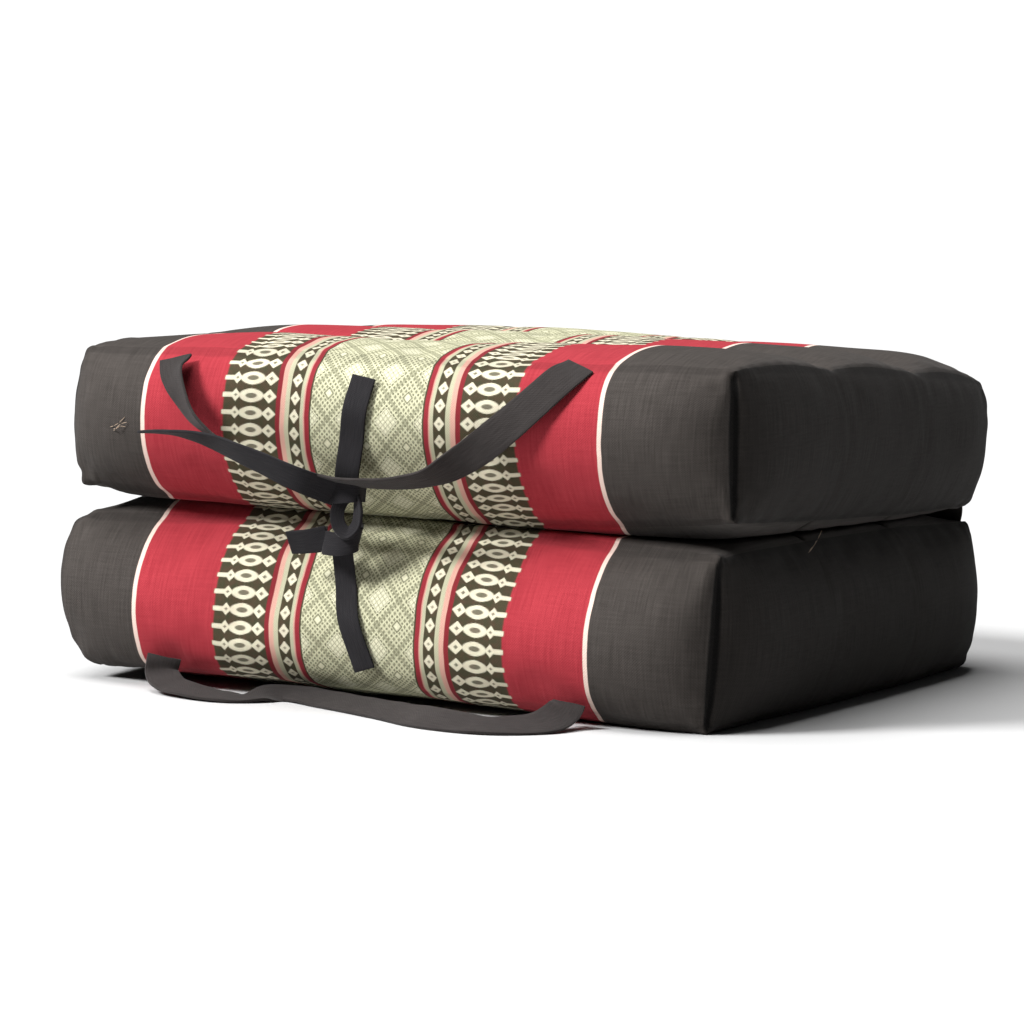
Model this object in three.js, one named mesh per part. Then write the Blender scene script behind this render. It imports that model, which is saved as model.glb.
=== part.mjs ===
// Folding meditation cushion, folded shut and lying flat with its open side to the front.
// Two stuffed halves lie one on the other and are joined by a cloth hinge along the back.
// A carry handle is sewn to the front of each half, and a knotted tie holds the two shut.
//
// Millimetres, +Z up. X runs along the open front, -Y is the front, and the origin lies
// in the middle of the flat patch that the lower half rests on.
import * as THREE from 'three';

// Channels and crowns of the stuffed halves
const channelCount = 3;
const channelDepth = 7;
const channelEndRise = 2.5;
const channelRoundness = 0.8;
const topCrown = 5;
const topCrownBackward = 0.6;
const innerCrown = 28;
const footCrown = 9.5;
const footReach = 0.5;
const footRoundness = { left: 1.6, right: 0.5 };
const footSidePower = 20;
const contactHeight = 82.5;
const contactSlope = -0.027;

// How tightly the stuffing turns at the seams. A higher power keeps a panel full nearer to its edge.
const panelRoundness = 0.7;
const cornerPower = 10;
const sidePower = 12;
const seamGathering = 0.6;

// Slow unevenness of hand stuffing: two long waves across the top.
const unevenness = [
  { height: 0.8, acrossLength: 37, backLength: 61 },
  { height: 0.6, acrossLength: -83, backLength: 29 },
];

// Half the width of a front panel, and the mesh steps of a half
const halfWidth = 166;
const widthSteps = 22;
const depthSteps = 24;
const heightSteps = 8;

// Tapes, their middle line held off the cloth by the tape clearance
const tapeThickness = 1.5;
const handleWidth = 16;
const tieWidth = 12;
const tapeClearance = 2.6;

// The hinge strip: how far along the back it reaches and how it stands off and bows out
const hingeThickness = 1.5;
const hingeReach = 0.97;
const hingeStandOff = 2.4;
const hingeBow = 2;
const pieceGap = 0.4;

// The knot, with the ridges of its slanting turns of tape
const knotCentre = new THREE.Vector3(-17, -184, 89.5);
const knotSize = { width: 20, depth: 18, height: 30 };
const knotTurns = { depth: 0.09, perRadius: 7, slant: 0.5 };

// A row for each upright corner seam: its middle, the heights of its ends, how far it
// bows out and how far its top leans to the right of its foot.
const upperCorners = {
  frontLeft: { x: -164, y: -156, bottom: 92, top: 157, bow: 4, lean: 0 },
  frontRight: { x: 168, y: -168, bottom: 98, top: 169, bow: 0, lean: -3 },
  backLeft: { x: -168, y: 168, bottom: 81, top: 143, bow: 4, lean: 0 },
  backRight: { x: 173, y: 170, bottom: 80, top: 143, bow: 5, lean: 4 },
};
const lowerCorners = {
  frontLeft: { x: -159.5, y: -154, bottom: 5.5, top: 78, bow: 11, lean: -8 },
  frontRight: { x: 162, y: -169, bottom: 0.5, top: 83, bow: 1, lean: 3 },
  backLeft: { x: -165, y: 166, bottom: 3.5, top: 74, bow: 5, lean: -2 },
  backRight: { x: 173, y: 166, bottom: 0.5, top: 74, bow: 4, lean: -2 },
};

// How far the stuffing moves the middle of each seam, and how far each side panel bulges.
// A bow is outward and a lift is upward. bottom and top are the seams of that panel.
const upperHalf = {
  corners: upperCorners,
  frontBow: { bottom: -15, top: 13 },
  backBow: { bottom: -6, top: 9 },
  sideBow: { bottom: -2, top: 5 },
  frontLift: { bottom: -8, top: 1.5 },
  backLift: { bottom: 8, top: 1.5 },
  sideLift: { bottom: -2, top: 3 },
  bulge: { front: 27, back: 17, side: 11 },
  frontBulgeTilt: -0.05,
};
const lowerHalf = {
  corners: lowerCorners,
  frontBow: { bottom: 8, top: -14 },
  backBow: { bottom: 4, top: -6 },
  sideBow: { bottom: 3, top: -1 },
  frontLift: { bottom: 4.5, top: 2 },
  backLift: { bottom: 8, top: -10 },
  sideLift: { bottom: 0.5, top: 2 },
  bulge: { front: 28, back: 17, side: 15 },
  frontBulgeTilt: 0,
};

const cloth = {
  charcoal: { color: 0x3a3533, roughness: 0.9, metalness: 0 },
  woven: { color: 0xb23a44, roughness: 0.88, metalness: 0 },
  tape: { color: 0x2f2c2f, roughness: 0.92, metalness: 0 },
};

const between = (from, to, share) => from + (to - from) * share;

// The height of the plane where the two halves press on each other. It falls to the back.
const contactAt = (y) => contactHeight + contactSlope * y;

// Value at (across, along) of a quantity known at the four corners, each from -1 to 1.
function fromCorners(corners, key, across, along) {
  const right = (across + 1) / 2;
  const back = (along + 1) / 2;
  const front = between(corners.frontLeft[key], corners.frontRight[key], right);
  const rear = between(corners.backLeft[key], corners.backRight[key], right);
  return between(front, rear, back);
}

// One arch for each sewn channel, from front to back. The channels run along X.
const channelWave = (along) => (
  Math.abs(Math.sin((channelCount * Math.PI * (along + 1)) / 2)) ** channelRoundness
);

// Rise of the outer panel, whose channels stand up between their seams.
function channelCrown(across, along) {
  const arch = topCrown * (1 - along ** 2) * (1 + topCrownBackward * along);
  return (channelDepth * channelWave(along) + arch) * (1 - across ** sidePower);
}

// Fall of the panel that lies on the floor. It rolls under slowly from the front seam at the
// left and quickly at the right.
function footFall(across, along) {
  const reached = Math.min(1, (1 - Math.abs(along)) / footReach);
  const roundness = between(footRoundness.left, footRoundness.right, (across + 1) / 2);
  const roll = Math.sin((reached * Math.PI) / 2) ** roundness;
  return footCrown * roll * (1 - across ** footSidePower);
}

// Rise of a panel where the two halves press on each other.
const innerRise = (across, along) => innerCrown * (1 - across ** 4) * (1 - along ** 4);

// Each channel lifts its end of the side seam a little above the seams beside it.
const sideWave = (across, along) => channelEndRise * channelWave(along) * across ** sidePower;

const settling = (x, y) => unevenness.reduce(
  (sum, wave) => sum + wave.height * Math.sin(x / wave.acrossLength + y / wave.backLength),
  0,
);

// A point of a half's skin. across, along and up each run from -1 to 1 over a box.
function halfPoint(half, across, along, up) {
  const share = (up + 1) / 2;
  const edge = (pair) => between(pair.bottom, pair.top, share);
  const swell = (1 - up ** 2) ** panelRoundness;
  const middleAcross = 1 - across ** 2;
  const middleAlong = 1 - along ** 2;
  const front = along < 0;
  const frontBulge = half.bulge.front * (1 + half.frontBulgeTilt * across);
  const cornerAcross = across ** cornerPower;
  const cornerAlong = along ** cornerPower;
  const bow = fromCorners(half.corners, 'bow', across, along);
  const sideSwell = between(half.bulge.side, bow, cornerAlong) * swell;
  const frontSwell = between(front ? frontBulge : half.bulge.back, bow, cornerAcross) * swell;
  const x = fromCorners(half.corners, 'x', across, along)
    + (fromCorners(half.corners, 'lean', across, along) * up) / 2
    + across * edge(half.sideBow) * middleAlong
    + across ** (cornerPower - 1) * sideSwell;
  const y = fromCorners(half.corners, 'y', across, along)
    + along * edge(front ? half.frontBow : half.backBow) * middleAcross
    + along ** (cornerPower - 1) * frontSwell;
  const bottom = fromCorners(half.corners, 'bottom', across, along);
  const top = fromCorners(half.corners, 'top', across, along);
  const z = between(bottom, top, share)
    + edge(front ? half.frontLift : half.backLift) * middleAcross * along ** 2
    + edge(half.sideLift) * middleAlong * across ** 2;
  return new THREE.Vector3(x, y, z);
}

function upperPoint(across, along, up) {
  const point = halfPoint(upperHalf, across, along, up);
  if (up === 1) {
    point.z += channelCrown(across, along) + sideWave(across, along);
    point.z += settling(point.x, point.y) * (1 - across ** cornerPower);
  }
  if (up === -1) {
    const free = point.z - innerRise(across, along);
    point.z = Math.max(free, contactAt(point.y) + pieceGap / 2);
  }
  return point;
}

function lowerPoint(across, along, up) {
  const point = halfPoint(lowerHalf, across, along, up);
  if (up === 1) {
    const free = point.z + innerRise(across, along);
    point.z = Math.min(free, contactAt(point.y) - pieceGap / 2);
  }
  if (up === -1) {
    point.z = Math.max(point.z - footFall(across, along), 0);
  }
  return point;
}

// Puts more of the steps near the seams, where the cloth turns fastest.
const gather = (value) => between(value, Math.sin((value * Math.PI) / 2), seamGathering);

function named(name, geometry, finish) {
  const mesh = new THREE.Mesh(geometry, new THREE.MeshStandardMaterial(finish));
  mesh.name = name;
  return mesh;
}

function stuffedHalf(name, skin, finish) {
  const geometry = new THREE.BoxGeometry(2, 2, 2, widthSteps, depthSteps, heightSteps);
  const corners = geometry.attributes.position;
  for (let i = 0; i < corners.count; i += 1) {
    const point = skin(gather(corners.getX(i)), gather(corners.getY(i)), gather(corners.getZ(i)));
    corners.setXYZ(i, point.x, point.y, point.z);
  }
  geometry.computeVertexNormals();
  return named(name, geometry, finish);
}

// A closed strip through rings of corners, all the rings alike.
function loft(rings) {
  const size = rings[0].length;
  const positions = rings.flat().flatMap((corner) => corner.toArray());
  const faces = [];
  for (let ring = 0; ring + 1 < rings.length; ring += 1) {
    for (let side = 0; side < size; side += 1) {
      const here = ring * size + side;
      const next = ring * size + ((side + 1) % size);
      faces.push(here, next, next + size, here, next + size, here + size);
    }
  }
  const last = (rings.length - 1) * size;
  for (let side = 1; side + 1 < size; side += 1) {
    faces.push(0, side + 1, side);
    faces.push(last, last + side, last + side + 1);
  }
  const geometry = new THREE.BufferGeometry();
  geometry.setAttribute('position', new THREE.Float32BufferAttribute(positions, 3));
  geometry.setIndex(faces);
  geometry.computeVertexNormals();
  return geometry;
}

// A flat tape through the rows of a table. A row gives a point of the tape's middle line
// and, as edge, the way from there to one edge of the tape.
function tape(name, rows, width, steps) {
  const route = new THREE.CatmullRomCurve3(
    rows.map((row) => new THREE.Vector3(row.x, row.y, row.z)),
    false,
    'centripetal',
  );
  const edges = new THREE.CatmullRomCurve3(
    rows.map((row) => new THREE.Vector3(...row.edge).normalize()),
  );
  const rings = [];
  for (let step = 0; step <= steps; step += 1) {
    const share = step / steps;
    const middle = route.getPoint(share);
    const along = route.getTangent(share);
    const across = edges.getPoint(share);
    across.addScaledVector(along, -across.dot(along)).setLength(width / 2);
    const through = along.clone().cross(across).setLength(tapeThickness / 2);
    const corner = (side, layer) => middle.clone()
      .addScaledVector(across, side)
      .addScaledVector(through, layer);
    rings.push([corner(-1, -1), corner(1, -1), corner(1, 1), corner(-1, 1)]);
  }
  return named(name, loft(rings), cloth.tape);
}

// A row of tape lying on the front panel of a half. x is its middle and up its height there.
function onFront(skin, { x, up }) {
  const across = x / halfWidth;
  const step = 1 / heightSteps;
  const here = skin(across, -1, up);
  const slope = skin(across, -1, up + step / 4).sub(skin(across, -1, up - step / 4));
  const out = new THREE.Vector3(0, -slope.z, slope.y).normalize();
  here.addScaledVector(out, tapeClearance);
  return { x: here.x, y: here.y, z: here.z, edge: [1, 0, 0] };
}

// The upper handle leaves the top seam at the left, hangs in a bow and returns at the right.
const upperHandleRows = [
  { x: -110, y: -178.5, z: 155.5, edge: [0.85, -0.53, 0] },
  { x: -106.8, y: -187.8, z: 150, edge: [0.83, -0.56, 0.05] },
  { x: -98.5, y: -196.5, z: 142, edge: [0.6, -0.72, 0.33] },
  { x: -87, y: -201, z: 132.5, edge: [0.3, -0.85, 0.4] },
  { x: -64, y: -202, z: 121, edge: [0, -1, 0.03] },
  { x: -39, y: -200, z: 114, edge: [0, -1, 0.1] },
  { x: -3, y: -200, z: 110.9, edge: [0, -1, 0.05] },
  { x: 29, y: -201, z: 115.8, edge: [0.1, -0.97, -0.22] },
  { x: 48, y: -199, z: 127.2, edge: [0.35, -0.8, -0.5] },
  { x: 71, y: -198, z: 146, edge: [0.6, -0.38, -0.7] },
  { x: 89, y: -190, z: 162, edge: [0.8, 0, -0.5] },
  { x: 94.5, y: -179, z: 167.4, edge: [1, 0, -0.1] },
];

// The lower handle leaves the bottom seam at the left and lies on the floor in a long wave.
const lowerHandleRows = [
  { x: -109, y: -177, z: 15, edge: [1, 0, 0.05] },
  { x: -113, y: -177.5, z: 7.7, edge: [0.92, 0, 0.28] },
  { x: -105.5, y: -181, z: 3.4, edge: [0.75, 0.62, 0.2] },
  { x: -83, y: -195.5, z: 2.5, edge: [-0.05, 0.98, 0.18] },
  { x: -64, y: -179, z: 2, edge: [-0.7, 0.7, 0.1] },
  { x: -47, y: -171.5, z: 3.7, edge: [0.3, 0.9, 0.34] },
  { x: -20, y: -184, z: 3.9, edge: [0.42, 0.83, 0.36] },
  { x: 16, y: -202.5, z: 4.4, edge: [0.44, 0.78, 0.42] },
  { x: 46, y: -221.5, z: 5.3, edge: [0.3, 0.8, 0.53] },
  { x: 74.5, y: -221.5, z: 4.1, edge: [-0.15, 0.92, 0.36] },
  { x: 94, y: -203.5, z: 4.6, edge: [-0.8, 0.4, 0.42] },
  { x: 98, y: -190.5, z: 8.2, edge: [-0.87, 0, 0.48] },
  { x: 98.5, y: -184.8, z: 11, edge: [-1, 0, 0.1] },
];

// Each tie is sewn to a front panel, lies on it and then runs free into the knot.
const upperTieRows = [
  onFront(upperPoint, { x: -8.5, up: 0.82 }),
  onFront(upperPoint, { x: -10.8, up: 0.42 }),
  onFront(upperPoint, { x: -13, up: 0.02 }),
  { x: -15, y: -189.3, z: 110, edge: [1, 0, 0] },
  { x: -16, y: -186.5, z: 105.8, edge: [1, 0, 0] },
];
const lowerTieRows = [
  { x: -17.5, y: -185.5, z: 73.6, edge: [1, 0, 0] },
  onFront(lowerPoint, { x: -16, up: 0.3 }),
  onFront(lowerPoint, { x: -12.5, up: -0.1 }),
  onFront(lowerPoint, { x: -6.5, up: -0.64 }),
];

// The free ends beyond the knot: a long one that stands out to the left, and a short one.
const longTailRows = [
  { x: -17.5, y: -194, z: 100.5, edge: [0.45, 0, 0.9] },
  { x: -29, y: -210.5, z: 107, edge: [0.35, -0.2, 0.9] },
  { x: -50.5, y: -215, z: 115.3, edge: [0.3, -0.5, 0.8] },
  { x: -76, y: -214, z: 122.9, edge: [0.15, -0.8, 0.6] },
  { x: -92, y: -213, z: 124.8, edge: [0, -0.97, 0.25] },
  { x: -112, y: -209, z: 124, edge: [0, -1, 0.06] },
];
const shortTailRows = [
  { x: -22, y: -192.8, z: 79.5, edge: [0.1, -0.1, 1] },
  { x: -31, y: -194, z: 77.5, edge: [0.2, -0.3, 0.93] },
  { x: -41, y: -194, z: 76, edge: [0.2, -0.45, 0.88] },
];

// The wound knot: a lump with the ridges of its turns of tape.
function knot(name) {
  const geometry = new THREE.SphereGeometry(1, 24, 16);
  const corners = geometry.attributes.position;
  for (let i = 0; i < corners.count; i += 1) {
    const point = new THREE.Vector3().fromBufferAttribute(corners, i);
    const climb = knotTurns.perRadius * (point.z + knotTurns.slant * point.x);
    const turns = 1 - knotTurns.depth * (1 + Math.cos(climb)) * (1 - point.z ** 4);
    corners.setXYZ(
      i,
      (point.x * turns * knotSize.width) / 2,
      (point.y * turns * knotSize.depth) / 2,
      (point.z * turns * knotSize.height) / 2,
    );
  }
  geometry.computeVertexNormals();
  const mesh = named(name, geometry, cloth.tape);
  mesh.position.copy(knotCentre);
  return mesh;
}

// The cloth strip that bridges the notch at the back, from seam to seam.
function hinge(name) {
  const layers = [0, 0.25, 0.5, 0.75, 1];
  const nearSeam = 0.98;
  const rings = [];
  for (let step = 0; step <= depthSteps; step += 1) {
    const across = between(-hingeReach, hingeReach, step / depthSteps);
    const low = lowerPoint(across, 1, nearSeam);
    const high = upperPoint(across, 1, -nearSeam);
    const gap = high.z - low.z;
    const skin = (layer, out) => new THREE.Vector3(
      between(low.x, high.x, layer),
      between(low.y, high.y, layer) + hingeStandOff + out + hingeBow * Math.sin(Math.PI * layer),
      low.z + pieceGap + (gap - 2 * pieceGap) * layer,
    );
    const outer = layers.map((layer) => skin(layer, hingeThickness));
    const inner = layers.map((layer) => skin(layer, 0)).reverse();
    rings.push([...outer, ...inner]);
  }
  return named(name, loft(rings), cloth.charcoal);
}

const cushion = new THREE.Group();
cushion.add(stuffedHalf('upper_half', upperPoint, cloth.woven));
cushion.add(stuffedHalf('lower_half', lowerPoint, cloth.woven));
cushion.add(hinge('fold_hinge'));
cushion.add(tape('upper_handle', upperHandleRows, handleWidth, 48));
cushion.add(tape('lower_handle', lowerHandleRows, handleWidth, 48));
cushion.add(tape('upper_tie', upperTieRows, tieWidth, 20));
cushion.add(tape('lower_tie', lowerTieRows, tieWidth, 20));
cushion.add(knot('tie_knot'));
cushion.add(tape('upper_tie_tail', longTailRows, tieWidth, 18));
cushion.add(tape('lower_tie_tail', shortTailRows, tieWidth, 8));

export default cushion;
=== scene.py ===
import math
import bpy
import bmesh
from mathutils import Matrix, Vector, noise


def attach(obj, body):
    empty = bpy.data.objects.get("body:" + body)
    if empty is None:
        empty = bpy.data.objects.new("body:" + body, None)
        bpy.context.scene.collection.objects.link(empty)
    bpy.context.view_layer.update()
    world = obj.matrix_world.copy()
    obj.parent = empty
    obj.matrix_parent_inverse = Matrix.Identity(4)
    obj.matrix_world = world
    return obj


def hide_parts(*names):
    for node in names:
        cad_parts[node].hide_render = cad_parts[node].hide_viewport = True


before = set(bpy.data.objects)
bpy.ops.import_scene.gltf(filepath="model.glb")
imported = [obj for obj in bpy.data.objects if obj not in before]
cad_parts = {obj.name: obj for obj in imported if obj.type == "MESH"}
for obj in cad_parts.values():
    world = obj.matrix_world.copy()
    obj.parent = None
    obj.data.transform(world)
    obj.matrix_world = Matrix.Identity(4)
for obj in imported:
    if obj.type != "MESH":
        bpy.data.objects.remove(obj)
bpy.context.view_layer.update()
print("frame loaded")

millimetre = 0.001


def between(first, last, share):
    return first + (last - first) * share


def limited(value, low, high):
    return max(low, min(high, value))


# Camera

camera = {
    "place": (1.3981, -3.6014, 0.4636),
    "turn": 21.3,       # degrees round the upright axis
    "dip": 5.7,         # degrees below level
    "roll": 2.31,
    "lens": 281.25,
    "sensor": 36,
    "farthest": 60,
}


def setCamera():
    data = bpy.data.cameras.new("camera")
    data.lens = camera["lens"]
    data.sensor_width = camera["sensor"]
    data.clip_end = camera["farthest"]
    data.dof.use_dof = False
    item = bpy.data.objects.new("camera", data)
    turn = Matrix.Rotation(math.radians(camera["turn"]), 4, "Z")
    dip = Matrix.Rotation(math.radians(90 - camera["dip"]), 4, "X")
    roll = Matrix.Rotation(math.radians(camera["roll"]), 4, "Z")
    item.matrix_world = Matrix.Translation(camera["place"]) @ turn @ dip @ roll
    bpy.context.collection.objects.link(item)
    bpy.context.scene.camera = item


setCamera()
print("camera set")


# Materials: a Thread is one value that runs through a material and can be reckoned with.

class Thread:
    def __init__(self, loom, socket):
        self.loom = loom
        self.socket = socket

    def __add__(self, other):
        return self.loom.reckon("ADD", self, other)

    def __radd__(self, other):
        return self.loom.reckon("ADD", other, self)

    def __sub__(self, other):
        return self.loom.reckon("SUBTRACT", self, other)

    def __rsub__(self, other):
        return self.loom.reckon("SUBTRACT", other, self)

    def __mul__(self, other):
        return self.loom.reckon("MULTIPLY", self, other)

    def __rmul__(self, other):
        return self.loom.reckon("MULTIPLY", other, self)

    def __truediv__(self, other):
        return self.loom.reckon("DIVIDE", self, other)

    def __abs__(self):
        return self.loom.reckon("ABSOLUTE", self)


class Loom:
    def __init__(self, name):
        self.material = bpy.data.materials.new(name)
        self.material.use_nodes = True
        self.tree = self.material.node_tree
        self.tree.nodes.clear()

    # Lays one node: its type, its settings, then the values or threads that go into it.
    def lay(self, kind, settings=None, inputs=None, output=0):
        node = self.tree.nodes.new("ShaderNode" + kind)
        for name, value in (settings or {}).items():
            setattr(node, name, value)
        for name, value in (inputs or {}).items():
            if isinstance(value, Thread):
                self.tree.links.new(value.socket, node.inputs[name])
            else:
                node.inputs[name].default_value = value
        return Thread(self, node.outputs[output]) if node.outputs else None

    def reckon(self, operation, *values, clamp=False):
        settings = {"operation": operation, "use_clamp": clamp}
        return self.lay("Math", settings, dict(enumerate(values)))

    def greater(self, first, second):
        return self.reckon("MAXIMUM", first, second)

    # 0 below nothing and 1 above it, with an edge as wide as softness
    def rise(self, value, softness):
        return self.reckon("ADD", value / softness, 0.5, clamp=True)

    # 1 where value lies from low to high
    def within(self, value, low, high, softness):
        return self.rise(value - low, softness) * self.rise(high - value, softness)

    # Spreads a value's middle over 0 to 1
    def spread(self, value, contrast, shift):
        return self.reckon("MULTIPLY_ADD", value, contrast, shift, clamp=True)

    def repeat(self, value):
        return self.reckon("FRACT", value)

    def mix(self, amount, first, second):
        inputs = {0: amount, 6: first, 7: second}
        return self.lay("Mix", {"data_type": "RGBA"}, inputs, 2)

    def shade(self, colour, amount):
        if not isinstance(colour, Thread):
            colour = colour[:3]
        return self.lay("VectorMath", {"operation": "SCALE"}, {0: colour, "Scale": amount})

    # The place on the flat cloth in millimetres, how far it is across and how far up
    def clothPlace(self):
        place = self.lay("UVMap", {"uv_map": "cloth"})
        settings = {"operation": "SCALE"}
        flat = self.lay("VectorMath", settings, {0: place, "Scale": 1 / millimetre})
        across = self.lay("SeparateXYZ", None, {0: flat})
        return flat, across, Thread(self, across.socket.node.outputs[1])

    def stretch(self, place, sizes):
        return self.lay("VectorMath", {"operation": "MULTIPLY"}, {0: place, 1: sizes})

    def cloud(self, place, scale, detail=2.0):
        inputs = {"Vector": place, "Scale": scale, "Detail": detail, "Roughness": 0.5}
        return self.lay("TexNoise", None, inputs)

    def bump(self, strength, distance, height):
        inputs = {"Strength": strength, "Distance": distance, "Height": height}
        return self.lay("Bump", None, inputs)

    def finish(self, colour, roughness, normal, settings):
        inputs = {"Base Color": colour, "Roughness": roughness, "Normal": normal}
        inputs.update(settings)
        shader = self.lay("BsdfPrincipled", None, inputs)
        self.lay("OutputMaterial", None, {"Surface": shader})
        return self.material


# An everyday colour of 0 to 255 as Blender's linear one
def dye(red, green, blue):
    def linear(value):
        value /= 255
        return value / 12.92 if value <= 0.04045 else ((value + 0.055) / 1.055) ** 2.4
    return (linear(red), linear(green), linear(blue), 1)


# The woven cloth. Distances run from the middle of the stripe, in millimetres.
cover = {
    "row": 8.5,                         # height of one row of figures
    "softness": 0.4,
    "threadStep": 0.5,
    "wander": (0.05, 1.2),              # how often and how far a line strays
    "redLine": (29.3, 32.3),
    "redShine": (0.7, 0.6),             # width and softness of its outer edge
    "greyLine": 34,
    "chain": (34, 40),
    "chainSize": (2.6, 3.5, 0.8),       # half width, half height, size of the eye
    "pairLine": (42.3, 44.8),
    "pairBlend": 0.9,
    "innerRed": 47.2,
    "smallDiamond": (50.9, 3.8, 3.4, 1.1),      # place, half width, half height, eye
    "lozenge": (60.3, 6.2, 3.4),
    "lozengeEye": (2.9, 1.25),
    "arrow": (68.4, 2.6, 3.1, 0.8),
    "tip": (68, 75.2, 1.1),             # start, end and half thickness
    "eyeDepths": (0.8, 0.85, 0.7),      # diamond and arrow, lozenge, chain
    "motifEnd": 74.3,
    "creamLine": (114.7, 116.8),
    "charcoal": dye(54, 50, 47),
    "charcoalLight": dye(69, 64, 61),
    "red": dye(170, 58, 66),
    "redDeep": dye(148, 43, 52),
    "redDark": dye(122, 38, 44),
    "redThread": dye(136, 42, 50),
    "cream": dye(210, 207, 182),
    "creamWarm": dye(198, 184, 164),
    "ground": dye(58, 60, 42),
    "groundBrown": dye(74, 60, 46),
    "patches": 0.3,                     # how often the ground turns brown
    "patchSpread": (2.0, -0.5),
    "patchWarmth": 0.6,
    "redSlub": 0.7,                     # how far a slub lightens the red
    "salmon": dye(196, 150, 136),
    "greenCream": dye(172, 170, 144),
    "edgeLine": dye(222, 198, 186),
}

# The field in the middle, a lattice of cells. A ring is 0 in a cell's middle and 1 at its edge.
# A line is where it starts and ends, its softness, how dark it is and how much more on a dot.
middleField = {
    "half": 28.5,
    "cell": (20, 24),
    "blocks": 8,                        # blocks along the side of a cell
    "filledTo": (0.60, 0.06),           # ring and softness
    "dots": (0.60, 0.3, 0.33, 0.74),    # size in a block, its softness, first ring, darkness
    "grid": (0.76, 0.2, 0.5),           # where it starts in a block, its softness, darkness
    "outline": (0.60, 0.67, 0.04, 0.3, 0.6),
    "inLine": (0.78, 0.82, 0.05, 0.1, 0.6),
    "lattice": (0.925, 0.45, 0.5),
    "eyeRing": (0.19, 0.27, 0.8),
    "eye": 0.16,
    "softness": 0.05,
    "speckle": (1.1, 0.42),             # how often and how dark
    "plain": dye(215, 213, 180),
    "bright": dye(232, 229, 198),
    "line": dye(62, 64, 42),
}

# How the cloth's threads lie and how it has worn, with the painted shade along its seams and on
# its side panels
weaving = {
    "slubAcross": (0.07, 0.9, 1),
    "slubUp": (1.0, 0.045, 1),
    "slubShares": (0.35, 0.65),
    "slubSpread": (2.6, -0.8),
    "pitch": 1.24,
    "soil": 0.018,
    # Painted shade along the seams: the band's half width, softness and darkness. The same band
    # also sinks the bump.
    "creaseShadeAndDip": (1.9, 1.0, 0.86),         # half width, softness and darkness
    "stitch": (3.2, 0.12, 0.1),         # pitch, half the gap and its softness
    "side": 400,                        # where the side panels lie on the flat cloth
    # Painted shade: the side panels, turned away from the light, are painted darker from here on
    # the flat cloth.
    "sideFrom": 212,
    "sidePaintedShade": 0.58,
    "tone": 0.93,
    "tones": (0.04, 0.06, 0.16),        # of the weave, the slubs and the soil
    "heights": (0.25, 0.45, 0.8, 0.6),  # of the weave, the slubs, the seam and its stitches
    "bump": (0.4, 0.0005),
    "roughness": (0.88, 0.06),
    "sheen": {"Sheen Weight": 0.03, "Sheen Roughness": 0.5, "Specular IOR Level": 0.1},
}


# The place on the stripe that every part of the pattern reads. Nothing woven by hand runs quite
# straight, and its figures move in whole threads.
class Stripe:
    def __init__(self, loom):
        self.loom = loom
        self.soft = cover["softness"]
        self.flat, self.across, self.up = loom.clothPlace()
        often, far = cover["wander"]
        wander = (loom.cloud(self.flat, often) - 0.5) * far
        bent = self.across + wander
        step = cover["threadStep"]
        self.acrossThread = loom.reckon("FLOOR", bent / step) * step + step / 2
        self.upThread = loom.reckon("FLOOR", (self.up + wander) / step) * step + step / 2
        self.away = abs(self.acrossThread)
        self.smoothAway = abs(bent)
        self.height = abs(loom.repeat(self.upThread / cover["row"]) - 0.5) * cover["row"]
        patch = loom.spread(loom.cloud(self.flat, cover["patches"]), *cover["patchSpread"])
        self.ground = loom.mix(patch, cover["ground"], cover["groundBrown"])
        warmth = patch * cover["patchWarmth"]
        self.light = loom.mix(warmth, cover["cream"], cover["creamWarm"])
        start, end, thick = cover["tip"]
        self.tip = loom.rise(thick - self.height, self.soft)
        self.tip *= loom.within(self.away, start, end, self.soft)

    def inside(self, distance):
        return self.loom.rise(distance - self.smoothAway, self.soft)

    def outside(self, distance):
        return self.loom.rise(self.smoothAway - distance, self.soft)

    def figure(self, value, halfWidth):
        return self.loom.rise(value * halfWidth, self.soft)

    def diamond(self, centre, halfWidth, halfHeight):
        sides = 1 - abs(self.away - centre) / halfWidth - self.height / halfHeight
        return self.figure(sides, min(halfWidth, halfHeight))


# The row of figures: a small diamond, a lozenge with an eye, and an arrow
def layFigures(stripe):
    loom, ground, light = stripe.loom, stripe.ground, stripe.light
    eyeDepth, lozengeEyeDepth = cover["eyeDepths"][:2]
    centre, halfWidth, halfHeight, eye = cover["smallDiamond"]
    colour = loom.mix(stripe.diamond(centre, halfWidth, halfHeight), ground, light)
    colour = loom.mix(stripe.diamond(centre, eye, eye) * eyeDepth, colour, ground)
    centre, halfWidth, halfHeight = cover["lozenge"]
    side = abs(stripe.away - centre) / halfWidth
    rise = stripe.height / halfHeight
    lozenge = 1 - rise * rise - side * (side * 0.5 + 0.5)
    colour = loom.mix(stripe.figure(lozenge, halfHeight / 2), colour, light)
    halfWidth, halfHeight = cover["lozengeEye"]
    side = (stripe.away - centre) / halfWidth
    rise = stripe.height / halfHeight
    eyeShape = stripe.figure(1 - rise * rise - side * side, halfHeight / 2)
    colour = loom.mix(eyeShape * lozengeEyeDepth, colour, ground)
    centre, halfWidth, halfHeight, eye = cover["arrow"]
    arrow = loom.greater(stripe.diamond(centre, halfWidth, halfHeight), stripe.tip)
    colour = loom.mix(arrow, colour, light)
    return loom.mix(stripe.diamond(centre, eye, eye) * eyeDepth, colour, ground)


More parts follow.
